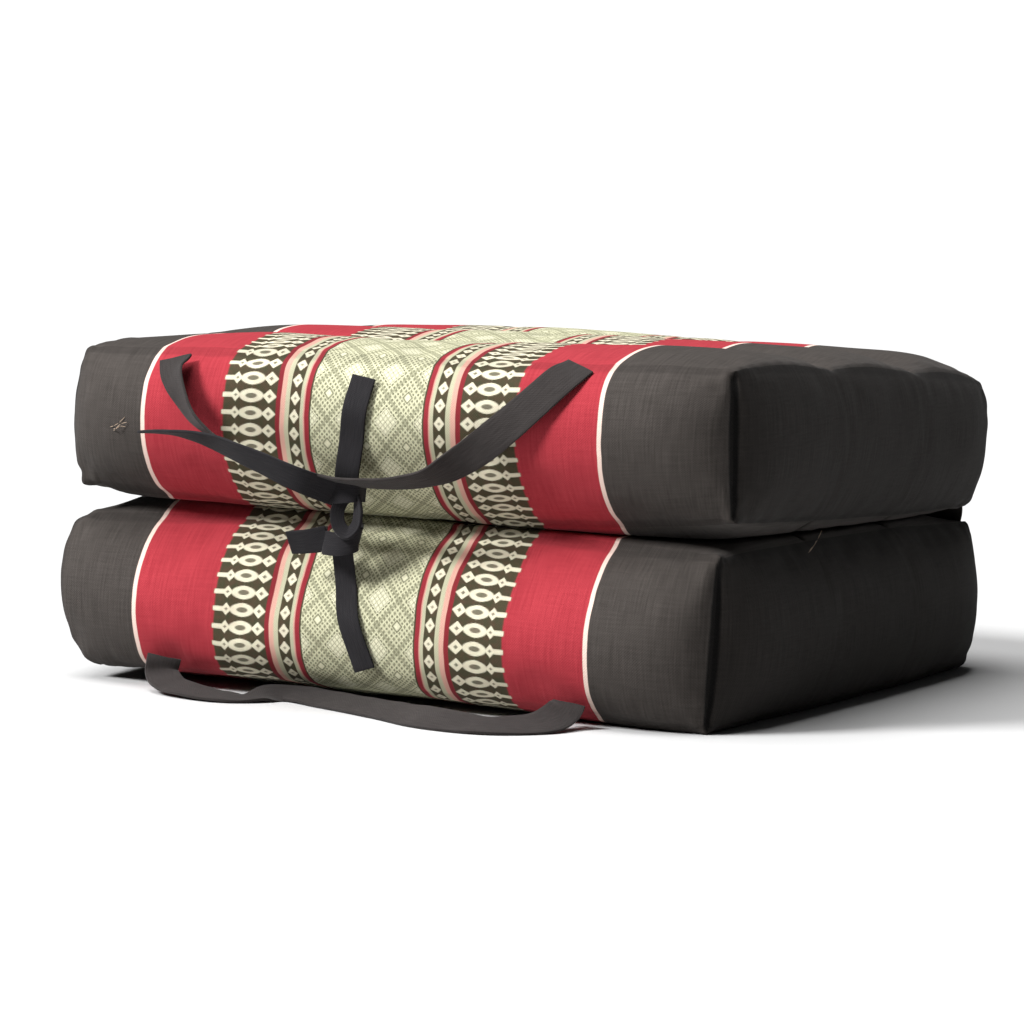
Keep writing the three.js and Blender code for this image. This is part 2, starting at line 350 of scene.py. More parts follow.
# Lines and the small chain, from the figures inwards
def layLines(stripe, colour):
    loom, ground = stripe.loom, stripe.ground
    colour = loom.mix(stripe.inside(cover["innerRed"]), colour, cover["redDark"])
    turn, high = cover["pairLine"]
    blend = loom.rise(turn - stripe.smoothAway, cover["pairBlend"])
    pair = loom.mix(blend, cover["salmon"], cover["greenCream"])
    colour = loom.mix(stripe.inside(high), colour, pair)
    low, high = cover["chain"]
    colour = loom.mix(stripe.inside(high), colour, ground)
    middle = (low + high) / 2
    halfWidth, halfHeight, eye = cover["chainSize"]
    colour = loom.mix(stripe.diamond(middle, halfWidth, halfHeight), colour, stripe.light)
    colour = loom.mix(stripe.diamond(middle, eye, eye) * cover["eyeDepths"][2], colour, ground)
    colour = loom.mix(stripe.inside(cover["greyLine"]), colour, cover["greenCream"])
    low, high = cover["redLine"]
    width, softness = cover["redShine"]
    shine = loom.rise(stripe.smoothAway - (high - width), softness)
    redLine = loom.mix(shine, cover["redThread"], cover["salmon"])
    colour = loom.mix(stripe.inside(high), colour, redLine)
    return loom.mix(stripe.inside(low), colour, ground)


# Cells, some filled with blocks and some with an eye
def layField(stripe, colour):
    loom = stripe.loom
    soft = middleField["softness"]
    wide, tall = middleField["cell"]
    slantUp = stripe.acrossThread / wide + stripe.upThread / tall
    slantDown = stripe.acrossThread / wide - stripe.upThread / tall

    # 0 in the middle of each cell or block and 1 at its edge
    def rings(count):
        first = abs(loom.repeat(slantUp * count) - 0.5)
        second = abs(loom.repeat(slantDown * count) - 0.5)
        return loom.greater(first, second) * 2

    ring = rings(1)
    block = rings(middleField["blocks"])
    cell = loom.reckon("FLOOR", slantUp) + loom.reckon("FLOOR", slantDown)
    eyed = loom.rise(loom.repeat(cell / 2) * 2 - 0.5, 0.1)
    high, softness = middleField["filledTo"]
    filled = (1 - eyed) * loom.rise(high - ring, softness)
    size, softness, first, depth = middleField["dots"]
    dots = loom.rise(size - block, softness) * loom.rise(ring - first, soft)

    def line(name):
        low, high, softness, dark, darker = middleField[name]
        return loom.within(ring, low, high, softness) * (dark + dots * darker)

    dark = dots * (1 - filled) * depth
    low, softness, depth = middleField["grid"]
    dark = loom.greater(dark, filled * loom.rise(block - low, softness) * depth)
    dark = loom.greater(dark, (1 - eyed) * line("outline"))
    low, depth, onDot = middleField["lattice"]
    dark = loom.greater(dark, loom.rise(ring - low, soft) * (depth + dots * onDot))
    dark = loom.greater(dark, line("inLine"))
    low, high, depth = middleField["eyeRing"]
    dark = loom.greater(dark, eyed * loom.within(ring, low, high, soft) * depth)
    bright = loom.greater(filled, eyed * loom.rise(middleField["eye"] - ring, soft))
    field = loom.mix(bright, middleField["plain"], middleField["bright"])
    often, depth = middleField["speckle"]
    field = loom.mix(loom.cloud(stripe.flat, often) * depth, field, middleField["line"])
    field = loom.mix(dark, field, middleField["line"])
    return loom.mix(stripe.inside(middleField["half"]), colour, field)


# The plain bands: red, a cream line and the charcoal ends
def layBands(stripe, colour, slub):
    loom = stripe.loom
    redCloth = loom.mix(slub * cover["redSlub"], cover["redDeep"], cover["red"])
    pastFigures = loom.rise(stripe.away - cover["motifEnd"], stripe.soft)
    colour = loom.mix(pastFigures * (1 - stripe.tip), colour, redCloth)
    low, high = cover["creamLine"]
    colour = loom.mix(stripe.outside(low), colour, cover["edgeLine"])
    charcoalCloth = loom.mix(slub, cover["charcoal"], cover["charcoalLight"])
    return loom.mix(stripe.outside(high), colour, charcoalCloth)


def wovenCover():
    loom = Loom("wovenCover")
    stripe = Stripe(loom)
    flat, across, up = stripe.flat, stripe.across, stripe.up
    colour = layFigures(stripe)
    colour = layLines(stripe, colour)
    colour = layField(stripe, colour)
    slubAcross = loom.cloud(loom.stretch(flat, weaving["slubAcross"]), 1.0, 3.0)
    slubUp = loom.cloud(loom.stretch(flat, weaving["slubUp"]), 1.0, 3.0)
    shareAcross, shareUp = weaving["slubShares"]
    slub = loom.spread(slubAcross * shareAcross + slubUp * shareUp, *weaving["slubSpread"])
    colour = layBands(stripe, colour, slub)

    # Threads over and under, dust and wear, and the dark line of painted shade where a seam draws
    # in
    warp = loom.reckon("SINE", across * (2 * math.pi / weaving["pitch"]))
    weft = loom.reckon("SINE", up * (2 * math.pi / weaving["pitch"]))
    weave = warp * weft
    soil = loom.cloud(flat, weaving["soil"], 3.0)
    # How far the nearest seam is, and how strongly its painted shade shows
    seam = loom.lay("Attribute", {"attribute_name": "seam"}, None, 2)
    depth = loom.lay("Attribute", {"attribute_name": "seamDepth"}, None, 2)
    halfWidth, softness, creaseShadeDepth = weaving["creaseShadeAndDip"]
    creaseShadeAndDip = loom.rise(halfWidth - seam, softness) * depth
    ofWeave, ofSlub, ofSoil = weaving["tones"]
    tone = weaving["tone"] + weave * ofWeave + (slub - 0.5) * ofSlub + (soil - 0.5) * ofSoil
    # Painted shade: darkens the cloth in the band beside a seam
    tone = tone * (1 - creaseShadeAndDip * creaseShadeDepth)
    # The side panels are painted darker: painted shade, as they are turned away from the light.
    tone = tone * (1 - loom.rise(across - weaving["sideFrom"], 1) * weaving["sidePaintedShade"])
    colour = loom.shade(colour, tone)
    pitch, gap, softness = weaving["stitch"]
    stitch = loom.rise(abs(loom.repeat((across + up) / pitch) - 0.5) - gap, softness)
    ofWeave, ofSlub, ofSeam, ofStitch = weaving["heights"]
    raised = weave * ofWeave + slub * ofSlub - creaseShadeAndDip * (ofSeam + stitch * ofStitch)
    bump = loom.bump(*weaving["bump"], raised)
    rough, smoother = weaving["roughness"]
    return loom.finish(colour, rough - slub * smoother, bump, weaving["sheen"])


tapeCloth = {
    "dark": dye(36, 32, 31),
    "light": dye(54, 50, 49),
    "tieDark": dye(22, 21, 24),
    "tieLight": dye(38, 36, 38),
    "threadDark": dye(124, 104, 88),
    "threadLight": dye(176, 158, 140),
    "slubs": (1.6, 0.12, 1),
    "slubSpread": (2.4, -0.7),
    "weave": 5.2,
    "soil": 0.05,
    "lightest": (0.6, 0.5),             # shares of the slubs and the soil in the light colour
    "tone": (0.95, 0.05),               # plain, and more with the weave
    "heights": (0.3, 0.6),              # of the weave and the slubs
    "bump": (0.4, 0.0004),
    "roughness": (0.88, 0.08),
    "sheen": {"Sheen Weight": 0.06, "Specular IOR Level": 0.15},
}


# Tape: a plain band of close-woven cloth, with slubs along it
def wovenTape(name, dark, light):
    loom = Loom(name)
    flat, across, along = loom.clothPlace()
    slubs = loom.cloud(loom.stretch(flat, tapeCloth["slubs"]), 1.0, 3.0)
    slub = loom.spread(slubs, *tapeCloth["slubSpread"])
    often = tapeCloth["weave"]
    weave = loom.reckon("SINE", across * often) * loom.reckon("SINE", along * often)
    soil = loom.cloud(flat, tapeCloth["soil"], 3.0)
    ofSlub, ofSoil = tapeCloth["lightest"]
    colour = loom.mix(slub * ofSlub + soil * ofSoil, dark, light)
    plain, ofWeave = tapeCloth["tone"]
    colour = loom.shade(colour, plain + weave * ofWeave)
    ofWeave, ofSlub = tapeCloth["heights"]
    bump = loom.bump(*tapeCloth["bump"], weave * ofWeave + slub * ofSlub)
    rough, smoother = tapeCloth["roughness"]
    return loom.finish(colour, rough - slub * smoother, bump, tapeCloth["sheen"])


coverMaterial = wovenCover()
tapeMaterial = wovenTape("charcoalTape", tapeCloth["dark"], tapeCloth["light"])
tieMaterial = wovenTape("blackTape", tapeCloth["tieDark"], tapeCloth["tieLight"])
threadMaterial = wovenTape("paleThread", tapeCloth["threadDark"], tapeCloth["threadLight"])
print("materials made")


def newMesh(work, name):
    mesh = bpy.data.meshes.new(name)
    work.to_mesh(mesh)
    work.free()
    for face in mesh.polygons:
        face.use_smooth = True
    item = bpy.data.objects.new(name, mesh)
    bpy.context.collection.objects.link(item)
    return item


# Stuffed halves, in millimetres

filling = {
    "channels": 3,
    "channelDepth": 7,
    "channelEndRise": 2.5,
    "channelEndPower": 20,
    "channelRoundness": 0.8,
    "topCrown": 3.6,
    "topCrownBackward": 1.4,
    "innerCrown": 28,
    "innerPower": 4,
    "footCrown": 9.5,
    "footReach": 0.5,
    "footRoundness": (1.6, 0.5),     # at the left and at the right
    "footSidePower": 20,
    "contactHeight": 82.5,
    "contactSlope": -0.027,
    "panelRoundness": 0.7,
    "cornerPower": 10,
    "sidePower": (5.5, 12),          # at the left and at the right
    "gathering": 0.6,
    "unevenness": ((0.8, 37, 61), (0.6, -83, 29)),   # height and the two lengths of a wave
    "gap": 0.4,
    "steps": (72, 72, 20),
    "span": (166, 166, 32),          # half the size between the seams, across, along and up
    "faceFrom": 0.999,               # a place this far out lies on a face
    "clothEnds": 0.998,
    "clothSteps": 60,
    "seamDepth": 2.4,
    "seamWidth": 1.8,
    # Strengths of a seam's pull and of its painted shade
    "cornerSeam": 1.0,
    "channelSeam": 0.8,
    "channelTouch": 0.002,
    "channelEnds": 0.3,
    "longSeam": 0.24,
    "besideSeam": (7, 6),            # middle and width of the puckered strip
    "pucker": 0.7,
    "puckerSizes": (7, 7, 7),
    "broadHeight": 0.8,
    "broadSizes": (38, 38, 30),
    "broadShift": 5,
    "cornerPucker": 2.2,
    "cornerSizes": (3.4, 3.4, 5),
    "cornerReach": 17,
}

# Each corner seam: its middle, the heights of its foot and top, its bow and its lean
upperCorners = {
    "frontLeft": {"x": -164, "y": -156, "bottom": 92, "top": 157, "bow": 4, "lean": 0},
    "frontRight": {"x": 168, "y": -168, "bottom": 98, "top": 169, "bow": 0, "lean": -3},
    "backLeft": {"x": -168, "y": 168, "bottom": 81, "top": 143, "bow": 4, "lean": 0},
    "backRight": {"x": 173, "y": 170, "bottom": 80, "top": 143, "bow": 5, "lean": 4},
}
lowerCorners = {
    "frontLeft": {"x": -159.5, "y": -154, "bottom": 5.5, "top": 78, "bow": 11, "lean": -8},
    "frontRight": {"x": 162, "y": -169, "bottom": 0.5, "top": 83, "bow": 1, "lean": 3},
    "backLeft": {"x": -165, "y": 166, "bottom": 3.5, "top": 74, "bow": 5, "lean": -2},
    "backRight": {"x": 173, "y": 166, "bottom": 0.5, "top": 74, "bow": 4, "lean": -2},
}

# Where two numbers stand, they are for the foot and the top of a panel. The left side has a lift
# of its own.
upperHalf = {
    "name": "upperCushion", "node": "upper_half", "corners": upperCorners, "stripe": -6,
    "frontBow": (-15, 13), "backBow": (-6, 9), "sideBow": (-2, 5),
    "frontLift": (-8, 1.5), "backLift": (8, 1.5), "sideLift": (-2, 3),
    "leftLift": (-2, -0.5),
    "bulge": {"front": 27, "back": 17, "side": 11}, "frontBulgeTilt": -0.05,
    "rowShift": 4.0, "above": True,
}
lowerHalf = {
    "name": "lowerCushion", "node": "lower_half", "corners": lowerCorners, "stripe": -8,
    "frontBow": (8, -14), "backBow": (4, -6), "sideBow": (3, -1),
    "frontLift": (4.5, 2), "backLift": (8, -10), "sideLift": (0.5, 2),
    "leftLift": (0.5, 2),
    "bulge": {"front": 28, "back": 17, "side": 15}, "frontBulgeTilt": 0,
    "rowShift": -4.0, "above": False,
}


def contactAt(y):
    return filling["contactHeight"] + filling["contactSlope"] * y


def fromCorners(corners, key, across, along):
    front = between(corners["frontLeft"][key], corners["frontRight"][key], (across + 1) / 2)
    back = between(corners["backLeft"][key], corners["backRight"][key], (across + 1) / 2)
    return between(front, back, (along + 1) / 2)


def channelWave(along):
    wave = abs(math.sin(filling["channels"] * math.pi * (along + 1) / 2))
    return wave ** filling["channelRoundness"]


# -1 on the low face of an axis, 1 on the high one and 0 between them
def faceSide(value):
    if abs(value) <= filling["faceFrom"]:
        return 0
    return 1 if value > 0 else -1


def settling(x, y):
    return sum(height * math.sin(x / first + y / second)
               for height, first, second in filling["unevenness"])


def panelPoint(half, across, along, up):
    corners = half["corners"]
    share = (up + 1) / 2
    swell = max(0, 1 - up * up) ** filling["panelRoundness"]
    cornerPower = filling["cornerPower"]
    bow = fromCorners(corners, "bow", across, along)
    bulge = half["bulge"]
    sideSwell = between(bulge["side"], bow, along ** cornerPower) * swell
    endBulge, endBow, endLift = bulge["back"], half["backBow"], half["backLift"]
    if along < 0:
        endBulge = bulge["front"] * (1 + half["frontBulgeTilt"] * across)
        endBow, endLift = half["frontBow"], half["frontLift"]
    endSwell = between(endBulge, bow, across ** cornerPower) * swell
    acrossFree = 1 - across * across
    alongFree = 1 - along * along
    x = fromCorners(corners, "x", across, along)
    x += fromCorners(corners, "lean", across, along) * up / 2
    x += across * between(*half["sideBow"], share) * alongFree
    x += across ** (cornerPower - 1) * sideSwell
    y = fromCorners(corners, "y", across, along)
    y += along * between(*endBow, share) * acrossFree
    y += along ** (cornerPower - 1) * endSwell
    bottom = fromCorners(corners, "bottom", across, along)
    top = fromCorners(corners, "top", across, along)
    z = between(bottom, top, share)
    z += between(*endLift, share) * acrossFree * along * along
    sideLift = half["leftLift"] if across < 0 else half["sideLift"]
    z += between(*sideLift, share) * alongFree * across * across
    return Vector((x, y, z))


# Fall of the face on the floor, which rolls under slowly at the left and quickly at the right
def footFall(across, along):
    reached = min(1, (1 - abs(along)) / filling["footReach"])
    roll = math.sin(reached * math.pi / 2) ** between(*filling["footRoundness"], (across + 1) / 2)
    return filling["footCrown"] * roll * (1 - across ** filling["footSidePower"])


# Crowns, channels and the flattened faces
def halfPoint(half, across, along, up):
    point = panelPoint(half, across, along, up)
    wave = channelWave(along)
    sidePower = filling["sidePower"][across > 0]
    sideFall = 1 - abs(across) ** sidePower
    innerPower = filling["innerPower"]
    innerRise = filling["innerCrown"] * (1 - across ** innerPower) * (1 - along ** innerPower)
    rest = filling["gap"] / 2
    side = faceSide(up)
    if half["above"] and side > 0:
        crown = filling["topCrown"] * (1 - along * along)
        crown *= 1 + filling["topCrownBackward"] * along
        point.z += (filling["channelDepth"] * wave + crown) * sideFall
        point.z += filling["channelEndRise"] * wave * across ** filling["channelEndPower"]
        point.z += settling(point.x, point.y) * (1 - across ** filling["cornerPower"])
    elif half["above"] and side < 0:
        point.z = max(point.z - innerRise, contactAt(point.y) + rest)
    elif side > 0:
        point.z = min(point.z + innerRise, contactAt(point.y) - rest)
    elif side < 0:
        point.z = max(point.z - footFall(across, along), 0)
    return point


def gather(value):
    return between(value, math.sin(value * math.pi / 2), filling["gathering"])


# The rows of the mesh crowd together at the seams of every channel.
def alongPlace(value):
    count = filling["channels"]
    channel = min(count - 1, int((value + 1) / 2 * count))
    middle = (2 * channel + 1) / count - 1
    return middle + gather(limited((value - middle) * count, -1, 1)) / count


# How far the cloth has run at even steps along a line that goes from -1 to 1
def clothLengths(path, steps):
    lengths = [0.0]
    last = path(-1.0)
    for step in range(1, steps + 1):
        point = path(-1 + 2 * step / steps)
        lengths.append(lengths[-1] + (point - last).length)
        last = point
    return lengths


def lengthAt(lengths, value):
    place = limited((value + 1) / 2, 0, 1) * (len(lengths) - 1)
    index = min(int(place), len(lengths) - 2)
    return between(lengths[index], lengths[index + 1], place - index)


def layCloth(work, half, places):
    layer = work.loops.layers.uv.new("cloth")
    steps, ends = filling["clothSteps"], filling["clothEnds"]

    def upright(along):
        return clothLengths(
            lambda value: halfPoint(half, 0, along, limited(value, -ends, ends)), steps)

    def level(up):
        return clothLengths(lambda value: halfPoint(half, 0, value, up), steps)

    front, top, back, bottom = upright(-1), level(1), upright(1), level(-1)
    for face in work.faces:
        corners = [places[vert.index] for vert in face.verts]
        sides = [tuple(faceSide(value) for value in place) for place in corners]
        onSide = all(side[0] for side in sides)
        onFront = all(side[1] < 0 for side in sides)
        onBack = all(side[1] > 0 for side in sides)
        onTop = all(side[2] > 0 for side in sides)
        for loop, place in zip(face.loops, corners):
            along, up = place[1:]
            point = loop.vert.co
            u = point.x - half["stripe"]
            if onSide:
                u = weaving["side"] + point.y
                v = point.z
            elif onFront:
                v = lengthAt(front, up)
            elif onTop:
                v = front[-1] + lengthAt(top, along)
            elif onBack:
                v = front[-1] + top[-1] + back[-1] - lengthAt(back, up)
            else:
                v = -lengthAt(bottom, along)
            if not onSide:
                v += half["rowShift"]
            loop[layer].uv = (u * millimetre, v * millimetre)


# Pins the seams and fills the half with air for a moment, so that the cloth lies as cloth does.
sewing = {
    "frames": 20,
    "furthest": 1.3,
    "sideFacing": 0.8,
    "sideShare": 0.25,
    "cloth": {
        "quality": 5,
        "mass": 0.2,
        "tension_stiffness": 25,
        "compression_stiffness": 25,
        "shear_stiffness": 8,
        "bending_stiffness": 2,
        "air_damping": 5,
        "vertex_group_mass": "seams",
        "pin_stiffness": 1,
        "use_pressure": True,
        "uniform_pressure_force": 4.0,
        "shrink_min": -0.006,
    },
}


def swellCloth(item, pinned):
    scene = bpy.context.scene
    copy = item.copy()
    copy.data = item.data.copy()
    bpy.context.collection.objects.link(copy)
    group = copy.vertex_groups.new(name=sewing["cloth"]["vertex_group_mass"])
    group.add(pinned, 1.0, "REPLACE")
    modifier = copy.modifiers.new("swell", "CLOTH")
    for name, value in sewing["cloth"].items():
        setattr(modifier.settings, name, value)
    modifier.settings.effector_weights.gravity = 0
    modifier.collision_settings.use_collision = False
    modifier.collision_settings.use_self_collision = False
    modifier.point_cache.frame_start = 1
    modifier.point_cache.frame_end = sewing["frames"]
    for number in range(1, sewing["frames"] + 1):
        scene.frame_set(number)
    graph = bpy.context.evaluated_depsgraph_get()
    swollen = copy.evaluated_get(graph).to_mesh()
    furthest = sewing["furthest"] * millimetre
    for vert, moved in zip(item.data.vertices, swollen.vertices):
        shift = moved.co - vert.co
        if shift.length > furthest:
            shift *= furthest / shift.length
        if abs(vert.normal.x) > sewing["sideFacing"]:
            shift *= sewing["sideShare"]
        vert.co += shift
    copy.evaluated_get(graph).to_mesh_clear()
    bpy.data.objects.remove(copy)
    scene.frame_set(1)


# Loose threads left where the sewing ends, in millimetres
looseThreads = {
    "thickness": 0.5,
    "sides": 5,
    "overlap": 1.1,
    "upper": (
        ((-140.5, -180, 122), (-137.5, -182, 123), (-134.5, -183, 124.6), (-131, -183.5, 128)),
        ((-138.5, -180, 120.5), (-136, -183.5, 121.5), (-133.5, -184, 123.4), (-130.5, -183, 123)),
        ((-138, -181, 121.5), (-135.5, -184.5, 122), (-132.5, -185, 124.6), (-129.5, -184, 125.5)),
    ),
    "lower": (
        ((171.5, -71, 77), (171, -62, 79.4), (170, -54, 82), (170.6, -49.5, 86.5)),
        ((171, -69, 77.6), (171.4, -61, 80.6), (169.5, -55, 81.5)),
    ),
}


def addThreads(item, strands):
    work = bmesh.new()
    work.from_mesh(item.data)
    radius = looseThreads["thickness"] / 2 * millimetre
    for strand in strands:
        for first, second in zip(strand, strand[1:]):
            run = Vector(second) - Vector(first)
            middle = (Vector(second) + Vector(first)) / 2 * millimetre
            turn = run.to_track_quat("Z", "Y").to_matrix().to_4x4()
            piece = bmesh.ops.create_cone(
                work, cap_ends=True, segments=looseThreads["sides"],
                radius1=radius, radius2=radius,
                depth=run.length * looseThreads["overlap"] * millimetre,
                matrix=Matrix.Translation(middle) @ turn)
            for face in {face for vert in piece["verts"] for face in vert.link_faces}:
                face.material_index = 1
                face.smooth = True
    work.to_mesh(item.data)
    work.free()


# The places whose vertices stay still while the cloth swells: every seam and channel, and the
# faces that rest on the floor or on the other half
def pinnedPlaces(half, places):
    pinned = []
    for index, (across, along, up) in enumerate(places):
        edgesMet = sum(faceSide(value) != 0 for value in (across, along, up))
        side = faceSide(up)
        channel = (along + 1) / 2 * filling["channels"]
        onChannel = side and abs(channel - round(channel)) < filling["channelTouch"]
        inner = side and (side < 0) == half["above"]
        foot = side < 0 and not half["above"]
        if edgesMet > 1 or onChannel or inner or foot:
            pinned.append(index)
    return pinned


def makeHalf(half):
    work = bmesh.new()
    bmesh.ops.create_cube(work, size=2)
    for axis, count in enumerate(filling["steps"]):
        # Each edge that still runs right through the cube along this axis is cut.
        edges = [edge for edge in work.edges
                 if abs(edge.verts[0].co[axis] - edge.verts[1].co[axis]) > 1]
        bmesh.ops.subdivide_edges(work, edges=edges, cuts=count - 1, use_grid_fill=True)
    work.verts.ensure_lookup_table()
    work.verts.index_update()
    places = []
    for vert in work.verts:
        place = (gather(vert.co.x), alongPlace(vert.co.y), gather(vert.co.z))
        places.append(place)
        vert.co = halfPoint(half, *place)
    bmesh.ops.recalc_face_normals(work, faces=work.faces[:])
    layCloth(work, half, places)
    for vert in work.verts:
        vert.co *= millimetre
    item = newMesh(work, half["name"])
    swellCloth(item, pinnedPlaces(half, places))
    dressHalf(item, half, places)
    addThreads(item, looseThreads["upper" if half["above"] else "lower"])
    finisher = item.modifiers.new("smooth", "SUBSURF")
    finisher.levels = 1
    finisher.render_levels = 1
    item.data.materials.append(coverMaterial)
    item.data.materials.append(threadMaterial)
    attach(item, "root")
    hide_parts(half["node"])


# How far a place is from the edge of its half across, along and up, in millimetres
def edgeDistances(place):
    return [(1 - abs(value)) * size for value, size in zip(place, filling["span"])]


# How far a place is from the nearest seam of its half, in millimetres, and how strongly that seam
# is
# drawn in and painted with shade: the upright corner seams at the right and the channels strongly,
# the others faintly.
def nearestSeam(place):
    across, along, up = place
    sides, ends, levels = edgeDistances(place)
    cornerSeam = filling["cornerSeam"] if across > 0 else filling["longSeam"]
    seams = [(max(sides, ends), cornerSeam)]
    seams.append((max(sides, levels), filling["longSeam"]))
    seams.append((max(ends, levels), filling["longSeam"]))
    count = filling["channels"]
    channel = (along + 1) / 2 * count
    if faceSide(up) and filling["channelEnds"] < channel < count - filling["channelEnds"]:
        away = abs(channel - round(channel)) * 2 * filling["span"][1] / count
        seams.append((away, filling["channelSeam"]))
    return min(seams)


# 1 at a corner where three panels meet, and nothing beyond its reach
def atCorner(place):
    away = Vector(edgeDistances(place))
    return math.exp(-(away.length / filling["cornerReach"]) ** 2)


# Unevenness from -1 to 1, with bumps about as large as sizes
def unevenAt(point, sizes, shift=0):
    x, y, z = (value / size for value, size in zip(point, sizes))
    return noise.noise(Vector((x, y, z + shift)))


# Draws the seams in, marks the painted shade along them, puckers the cloth beside them and keeps
# it off its neighbours
def dressHalf(item, half, places):
    # The seam and seamDepth attributes carry the painted shade along the seams into the cover
    # material.
    for name in ("seam", "seamDepth"):
        item.data.attributes.new(name, "FLOAT", "POINT")
    seam = item.data.attributes["seam"]
    depth = item.data.attributes["seamDepth"]
    normals = [vert.normal.copy() for vert in item.data.vertices]
    beside, besideWidth = filling["besideSeam"]
    for vert, normal, place in zip(item.data.vertices, normals, places):
        point = vert.co / millimetre
        reach, strength = nearestSeam(place)
        seam.data[vert.index].value = reach
        depth.data[vert.index].value = strength
        pull = math.exp(-(reach / filling["seamWidth"]) ** 2) * filling["seamDepth"] * strength
        strip = math.exp(-((reach - beside) / besideWidth) ** 2)
        pucker = unevenAt(point, filling["puckerSizes"]) * filling["pucker"]
        broad = unevenAt(point, filling["broadSizes"], filling["broadShift"])
        fine = unevenAt(point, filling["cornerSizes"]) * filling["cornerPucker"]
        move = -pull + strip * pucker + broad * filling["broadHeight"] + atCorner(place) * fine
        point += normal * move
        contact = contactAt(point.y)
        if half["above"]:
            point.z = max(point.z, contact + filling["gap"] / 2)
        else:
            point.z = max(point.z, 0)
            if faceSide(place[2]) > 0:
                point.z = min(point.z, contact - filling["gap"] / 2)
        vert.co = point * millimetre


makeHalf(upperHalf)
print("upper half made")
makeHalf(lowerHalf)
print("lower half made")


# Tapes, in millimetres

tape = {
    "handleWidth": 16,
    "tieWidth": 12,
    "lowerTieWidth": 10.5,
    "knotWidth": 6.5,
    "thickness": 1.3,
    "edge": 0.35,
    "clearance": 2.6,
    "stepsAcross": 8,
    "samples": 400,
    "look": 0.004,                      # how far ahead a tape's direction is read
    "panelLook": 0.01,
    "shortest": 0.0001,
    "wave": (14, 0.7, 0.5),             # length, share across and height
}


def stride(first, second):
    return max((second - first).length, tape["shortest"]) ** 0.5


# A smooth line through points, after Catmull and Rom, spaced by the square root of distance
def smoothLine(points, share):
    spans = len(points) - 1
    place = share * spans
    index = min(int(place), spans - 1)
    local = place - index
    p1, p2 = points[index], points[index + 1]
    p0 = points[index - 1] if index > 0 else p1 + (p1 - p2)
    p3 = points[index + 2] if index + 2 < len(points) else p2 + (p2 - p1)
    t0 = 0
    t1 = t0 + stride(p0, p1)
    t2 = t1 + stride(p1, p2)
    t3 = t2 + stride(p2, p3)
    t = between(t1, t2, local)
    a1 = p0.lerp(p1, (t - t0) / (t1 - t0))
    a2 = p1.lerp(p2, (t - t1) / (t2 - t1))
    a3 = p2.lerp(p3, (t - t2) / (t3 - t2))
    b1 = a1.lerp(a2, (t - t0) / (t2 - t0))
    b2 = a2.lerp(a3, (t - t1) / (t3 - t1))
    return b1.lerp(b2, (t - t1) / (t2 - t1))


# A flat tape along rows of a middle point and the direction of its width. Returns its length.
def layTape(work, layer, rows, width, steps):
    points = [Vector(row[:3]) for row in rows]
    edges = [Vector(row[3]).normalized() for row in rows]
    grid = bmesh.ops.create_grid(work, x_segments=steps, y_segments=tape["stepsAcross"], size=1)
    lengths = clothLengths(lambda value: smoothLine(points, (value + 1) / 2), tape["samples"])
    look = tape["look"]
    waveLength, waveAcross, waveHeight = tape["wave"]
    uv = {}
    for vert in grid["verts"]:
        share = (vert.co.x + 1) / 2
        side = vert.co.y
        middle = smoothLine(points, share)
        ahead = smoothLine(points, min(1, share + look))
        behind = smoothLine(points, max(0, share - look))
        along = (ahead - behind).normalized()
        across = smoothLine(edges, share)
        across = (across - along * across.dot(along)).normalized()
        through = along.cross(across)
        lengthHere = lengthAt(lengths, share * 2 - 1)
        wave = noise.noise(Vector((lengthHere / waveLength, side * waveAcross, width)))
        vert.co = middle + across * (side * width / 2) + through * (wave * waveHeight)
        uv[vert] = (side * width / 2 * millimetre, lengthHere * millimetre)
    faces = {face for vert in grid["verts"] for face in vert.link_faces}
    for face in faces:
        for loop in face.loops:
            loop[layer].uv = uv[loop.vert]
    return lengths[-1]


# Each strip is its rows, its width and its steps.
def makeTape(name, node, strips, finish):
    work = bmesh.new()
    layer = work.loops.layers.uv.new("cloth")
    total = 0
    for rows, width, steps in strips:
        total += layTape(work, layer, rows, width, steps)
    for vert in work.verts:
        vert.co *= millimetre
    item = newMesh(work, name)
    thick = item.modifiers.new("thickness", "SOLIDIFY")
    thick.thickness = tape["thickness"] * millimetre
    thick.offset = 0
    soft = item.modifiers.new("edges", "BEVEL")
    soft.width = tape["edge"] * millimetre
    soft.segments = 2
    soft.limit_method = "ANGLE"
    item.data.materials.append(finish)
    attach(item, "root")
    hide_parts(node)
    width = strips[0][1]
    width * millimetre
    print(name, "is", round(total), "mm long")


# A row of a tape that lies on a front panel
def onPanel(half, x, up):
    across = x / filling["span"][0]
    look = tape["panelLook"]
    point = panelPoint(half, across, -1, up)
    slope = panelPoint(half, across, -1, up + look) - panelPoint(half, across, -1, up - look)
    outward = Vector((0, -slope.z, slope.y)).normalized()
    point += outward * tape["clearance"]
    return (x, point.y, point.z, (1, 0, 0))


